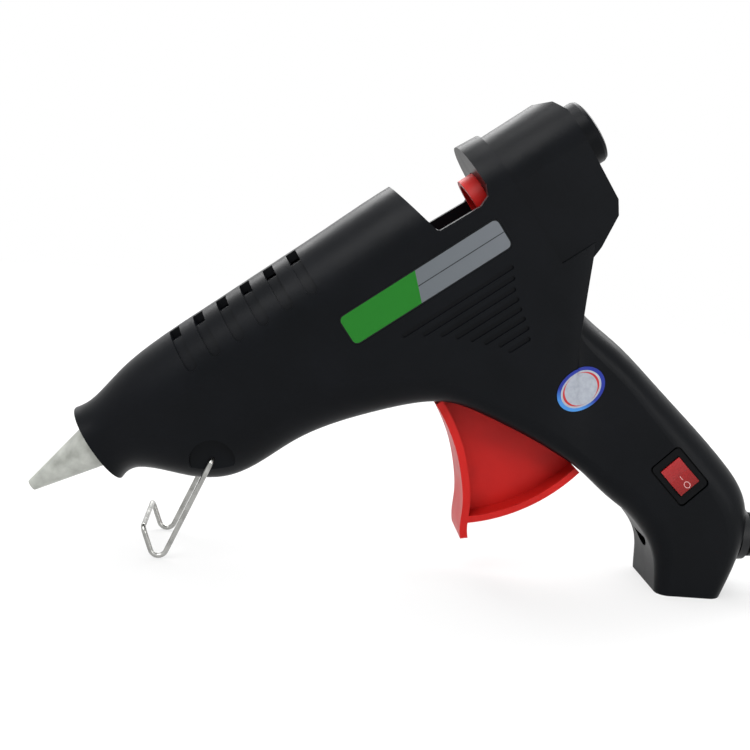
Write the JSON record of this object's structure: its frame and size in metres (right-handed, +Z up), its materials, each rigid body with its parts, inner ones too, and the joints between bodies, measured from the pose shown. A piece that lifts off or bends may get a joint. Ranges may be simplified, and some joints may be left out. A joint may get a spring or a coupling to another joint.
{
  "type": "glue gun",
  "caption": "Corded pistol-grip hot-melt glue gun on a wire stand, with a window over the feed, a finger trigger, a rocker switch and a tapered nozzle.",
  "frame": {"origin": "centre of the bounding box of the gun without its cord, on the floor it stands on", "axes": "-X towards the nozzle end, +Y to the gun's right side, +Z up"},
  "size_m": [0.4339, 0.0406, 0.143],
  "materials": {
    "housing_abs": "fine moulded texture",
    "zinc_steel": "zinc plated",
    "label_foil": "printed satin foil",
    "sticker_vinyl": "printed vinyl",
    "red_nylon": "slight gloss",
    "pin_steel": "ground",
    "spring_steel": "drawn wire",
    "jaw_steel": "stamped",
    "nozzle_aluminium": "turned satin",
    "chamber_aluminium": "die cast",
    "ring_insulator": "phenolic",
    "ptc_ceramic": "ceramic",
    "electrode_brass": "rolled strip",
    "sleeve_silicone": "moulded silicone",
    "switch_plastic": "moulded",
    "rocker_plastic": "translucent red",
    "lead_pvc": "extruded PVC",
    "cord_pvc": "extruded PVC",
    "relief_pvc": "moulded PVC",
    "blade_brass": "nickel washed",
    "stand_steel": "bright wire",
    "tie_vinyl": "cut strip"
  },
  "bodies": {
    "gun": {"left_housing": "housing_abs", "right_housing": "housing_abs", "housing_screws": "zinc_steel", "label_plate": "label_foil", "oval_sticker": "sticker_vinyl", "trigger_pivot_pin": "pin_steel", "trigger_spring": "spring_steel", "nozzle": "nozzle_aluminium", "melt_chamber": "chamber_aluminium", "front_ring": "ring_insulator", "rear_ring": "ring_insulator", "ptc_heater": "ptc_ceramic", "electrode_upper": "electrode_brass", "electrode_lower": "electrode_brass", "inlet_sleeve": "sleeve_silicone", "sleeve_clamp": "spring_steel", "switch_body": "switch_plastic", "switch_terminals": "electrode_brass", "lead_switch": "lead_pvc", "lead_live": "lead_pvc", "lead_neutral": "lead_pvc", "cord_clamp": "relief_pvc", "cord_clamp_screws": "zinc_steel", "strain_relief": "relief_pvc", "power_cord": "cord_pvc", "cord_hank": "cord_pvc", "hank_tie": "tie_vinyl", "cord_tail": "cord_pvc", "plug_body": "relief_pvc", "plug_blades": "blade_brass"},
    "trigger": {"trigger": "red_nylon"},
    "carriage": {"feed_carriage": "red_nylon", "clamp_pin": "pin_steel"},
    "jaw": {"clamp_jaw": "jaw_steel"},
    "rocker": {"rocker": "rocker_plastic"},
    "stand": {"wire_stand": "stand_steel"}
  },
  "joints": [
    {"name": "trigger_pull", "type": "hinge", "parent": "gun", "child": "trigger", "pos_m": [0.01279, 0, 0.07068], "axis": [0, -1, 0], "range_deg": [0, 18], "stiffness_Nm_per_rad": 1.2, "springref_deg": -14.32, "deforming": ["trigger_spring"]},
    {"name": "carriage_slide", "type": "slide", "parent": "gun", "child": "carriage", "axis": [-0.7878, 0, -0.616], "range_m": [0, 0.0071]},
    {"name": "jaw_tilt", "type": "hinge", "parent": "carriage", "child": "jaw", "pos_m": [0.03095, 0, 0.11027], "axis": [0, -1, 0], "range_deg": [0, 4.5]},
    {"name": "rocker_tilt", "type": "hinge", "parent": "gun", "child": "rocker", "pos_m": [0.08359, -0.0124, 0.03743], "axis": [0.6881, 0, 0.7256], "range_deg": [0, 12]},
    {"name": "stand_fold", "type": "hinge", "parent": "gun", "child": "stand", "pos_m": [-0.05482, 0, 0.03051], "axis": [0, -1, 0], "range_deg": [0, 100]}
  ],
  "couplings": [
    {"joint": "carriage_slide", "follows": "trigger_pull", "m_per_rad": 0.022308},
    {"joint": "jaw_tilt", "follows": "trigger_pull", "ratio": 0.25}
  ]
}
